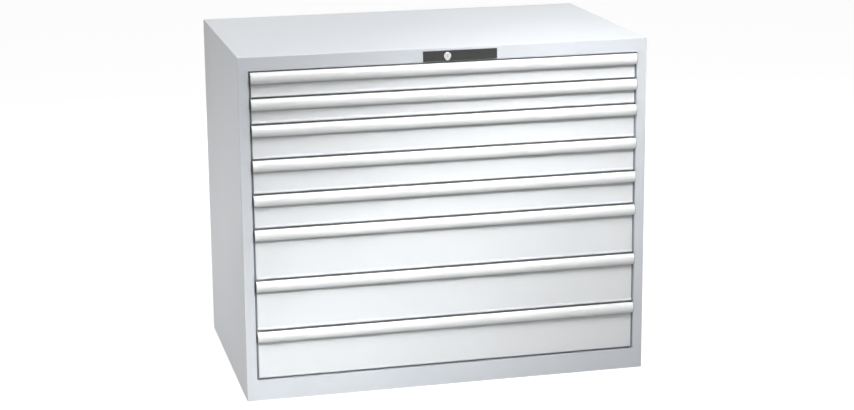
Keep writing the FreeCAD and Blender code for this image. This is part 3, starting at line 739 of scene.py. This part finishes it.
def makeStudio():
    # white surroundings, a plain floor and five soft boxes
    world = bpy.data.worlds.new("paleStudio")
    bpy.context.scene.world = world
    world.use_nodes = True
    tree = world.node_tree
    tree.nodes.clear()
    seen = seenDirectly(tree)
    glow = addNode(tree, "ShaderNodeMapRange", {"To Min": studio["around"], "To Max": 1.0}, {"Value": seen})
    sky = addNode(tree, "ShaderNodeBackground", {"Color": (1, 1, 1, 1)}, {"Strength": glow})
    addNode(tree, "ShaderNodeOutputWorld", links={"Surface": sky})

    material, tree = newMaterial("studioFloor")
    seen = seenDirectly(tree)
    matt = addNode(tree, "ShaderNodeBsdfDiffuse", {"Color": linear(studio["floor"])})
    lift = addNode(tree, "ShaderNodeMath", {1: studio["floorGlow"]}, {0: seen}, operation="MULTIPLY")
    white = addNode(tree, "ShaderNodeEmission", {"Color": (1, 1, 1, 1)}, {"Strength": lift})
    both = addNode(tree, "ShaderNodeAddShader", {}, {0: matt, 1: white})
    addNode(tree, "ShaderNodeOutputMaterial", links={"Surface": both})
    bm = bmesh.new()
    bmesh.ops.create_grid(bm, x_segments=1, y_segments=1, size=studio["floorSize"])
    mesh = bpy.data.meshes.new("studioFloor")
    bm.to_mesh(mesh)
    bm.free()
    mesh.materials.append(material)
    floor = bpy.data.objects.new("studioFloor", mesh)
    bpy.context.scene.collection.objects.link(floor)

    for name in ("main", "strip", "left", "right", "back"):
        lamp = studio[name]
        light = bpy.data.lights.new(name, "AREA")
        light.shape = "RECTANGLE"
        light.size, light.size_y = lamp["size"]
        light.spread = math.radians(lamp["beam"])
        light.energy = lamp["power"]
        height, bearing = math.radians(lamp["height"]), math.radians(lamp["bearing"])
        away = Vector((math.sin(bearing) * math.cos(height), -math.cos(bearing) * math.cos(height),
                       math.sin(height)))
        along = Vector(lamp["along"])
        along = (along - away * along.dot(away)).normalized()
        turn = Matrix((along, away.cross(along), away)).transposed().to_4x4()
        holder = bpy.data.objects.new(name, light)
        holder.matrix_world = Matrix.Translation(Vector(lamp["aim"]) + away * lamp["distance"]) @ turn
        holder.visible_camera = False
        holder.visible_glossy = lamp.get("mirrored", True)
        bpy.context.scene.collection.objects.link(holder)
    print("studio lit")


makeStudio()

camera = {
    "place": (-1.3345, -5.62475, 1.917),
    "yaw": 13.58,      # degrees to the right of +Y
    "pitch": 13.19,    # degrees downwards
    "roll": -0.50,
    "focal": 1950.0,   # in pixels of a frame 854 wide
    "frame": 854.0,
    "shiftDown": 0.04,
    "sensor": 36.0,
    "farthest": 100,
}


def makeCamera():
    # the photo's view, from the place that the cabinet's corners give
    yaw, pitch, roll = (math.radians(camera[k]) for k in ("yaw", "pitch", "roll"))
    forward = Vector((math.sin(yaw) * math.cos(pitch), math.cos(yaw) * math.cos(pitch), -math.sin(pitch)))
    right = Vector((math.cos(yaw), -math.sin(yaw), 0))
    up = right.cross(forward)
    rolledRight = right * math.cos(roll) + up * math.sin(roll)
    rolledUp = up * math.cos(roll) - right * math.sin(roll)
    turn = Matrix((rolledRight, rolledUp, -forward)).transposed().to_4x4()
    data = bpy.data.cameras.new("photoView")
    data.sensor_fit = "HORIZONTAL"
    data.sensor_width = camera["sensor"]
    data.lens = data.sensor_width * camera["focal"] / camera["frame"]
    data.shift_y = -camera["shiftDown"]
    data.clip_end = camera["farthest"]
    holder = bpy.data.objects.new("photoView", data)
    holder.matrix_world = Matrix.Translation(camera["place"]) @ turn
    bpy.context.scene.collection.objects.link(holder)
    bpy.context.scene.camera = holder
    print("camera set")


makeCamera()
bpy.context.scene.view_settings.view_transform = "Standard"
